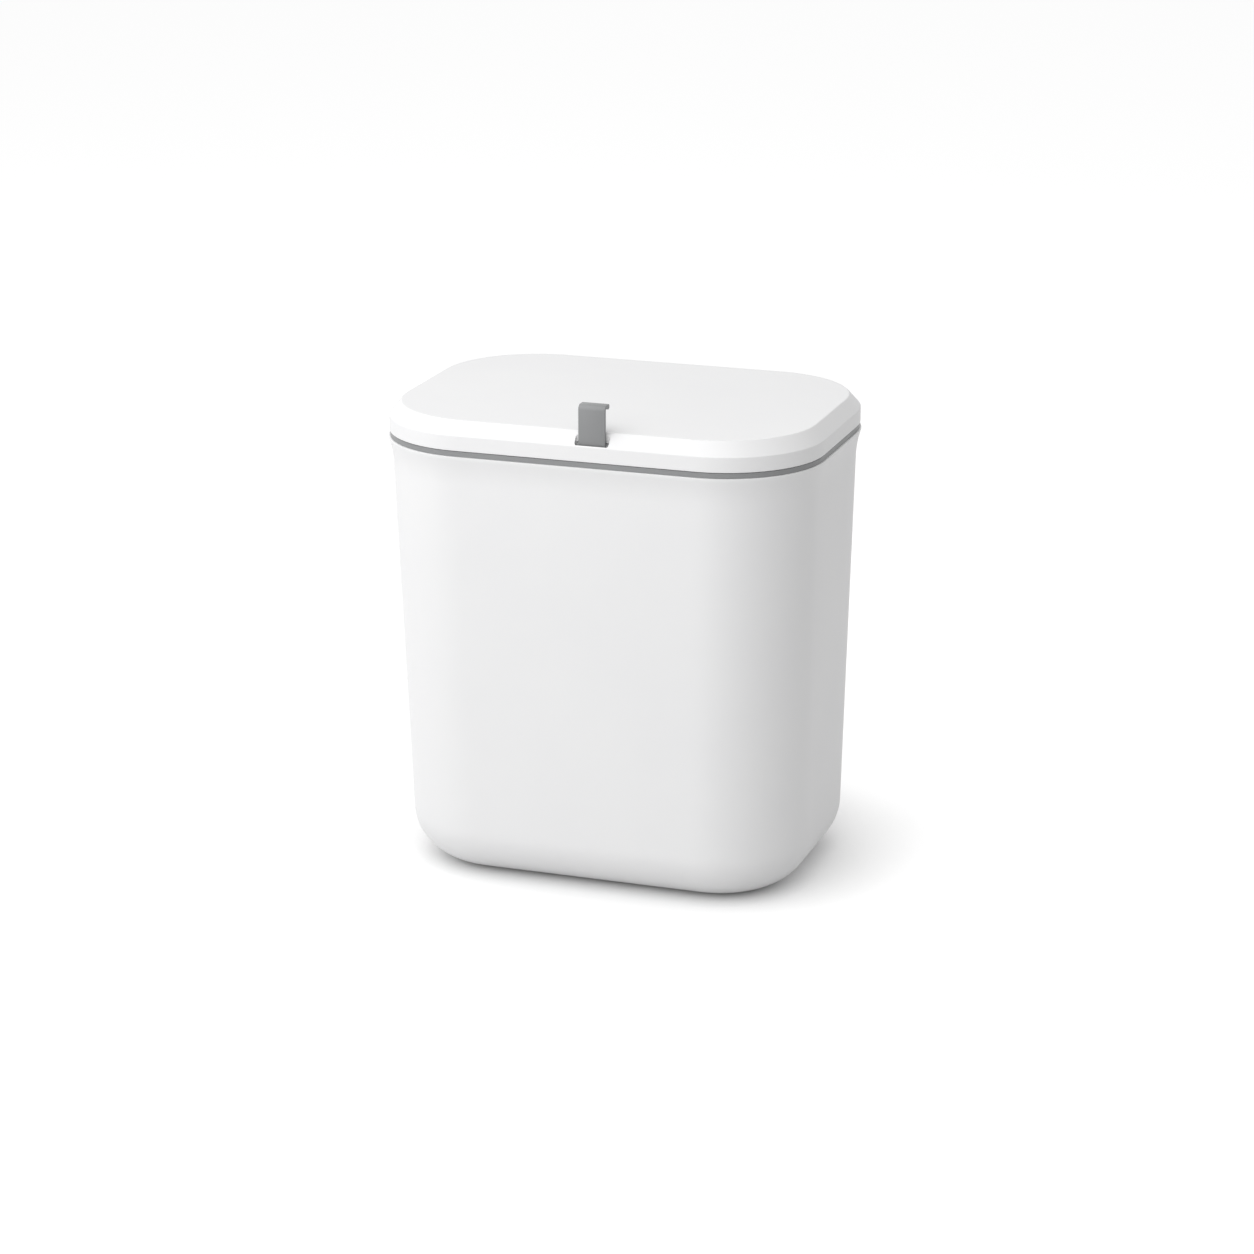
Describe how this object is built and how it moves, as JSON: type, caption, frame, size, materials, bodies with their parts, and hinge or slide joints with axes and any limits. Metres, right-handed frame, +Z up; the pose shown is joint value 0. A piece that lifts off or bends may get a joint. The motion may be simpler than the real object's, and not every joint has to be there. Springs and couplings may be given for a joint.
{
  "type": "wall-mounted trash can",
  "caption": "Wall-hung kitchen waste bin: tapered white bucket, grey bag ring, hinged lid with a hooked lock tab, and a wall bracket that the bin lifts off.",
  "frame": {"origin": "bottom centre of the whole part's box: on the surface that the bin stands on, midway between the lip of its front rim and the wall face of its bracket", "axes": "+Z up, -Y to the front where the lock tab is, +Y towards the wall, +X to the right seen from the front"},
  "size_m": [0.2516, 0.1976, 0.2856],
  "materials": {
    "white_plastic": "moulded polypropylene, satin",
    "grey_plastic": "moulded polypropylene, satin",
    "seal_rubber": "soft moulded rubber, matt",
    "steel": "drawn and plated",
    "bumper_rubber": "moulded rubber, matt",
    "foam_tape": "closed-cell foam, matt"
  },
  "bodies": {
    "bin": {"bucket": "white_plastic", "hanger": "white_plastic", "hanger_screws": "steel", "bumper_left": "bumper_rubber", "bumper_right": "bumper_rubber"},
    "ring": {"bag_ring": "grey_plastic", "tab_keeper": "steel", "keeper_rivets": "steel", "hinge_pin_left": "steel", "hinge_pin_right": "steel"},
    "lid": {"lid_cover": "white_plastic", "lid_liner": "white_plastic", "lid_seal": "seal_rubber", "liner_screws": "steel", "tab_pin": "steel"},
    "tab": {"lock_tab": "grey_plastic"},
    "bracket": {"wall_bracket": "white_plastic", "mounting_pad_left": "foam_tape", "mounting_pad_right": "foam_tape"}
  },
  "joints": [
    {"name": "ring_lift_off", "type": "slide", "parent": "bin", "child": "ring", "axis": [0, 0, 1], "range_m": [0, 0.04]},
    {"name": "lid_hinge", "type": "hinge", "parent": "ring", "child": "lid", "pos_m": [0, 0.0857, 0.26], "axis": [-1, 0, 0], "range_deg": [0, 85]},
    {"name": "tab_tip", "type": "hinge", "parent": "lid", "child": "tab", "pos_m": [0.0106, -0.09355, 0.2624], "axis": [-1, 0, 0], "range_deg": [0, 6.5]},
    {"name": "bracket_unhook", "type": "slide", "parent": "bin", "child": "bracket", "axis": [0, 0, -1], "range_m": [0, 0.024]}
  ]
}
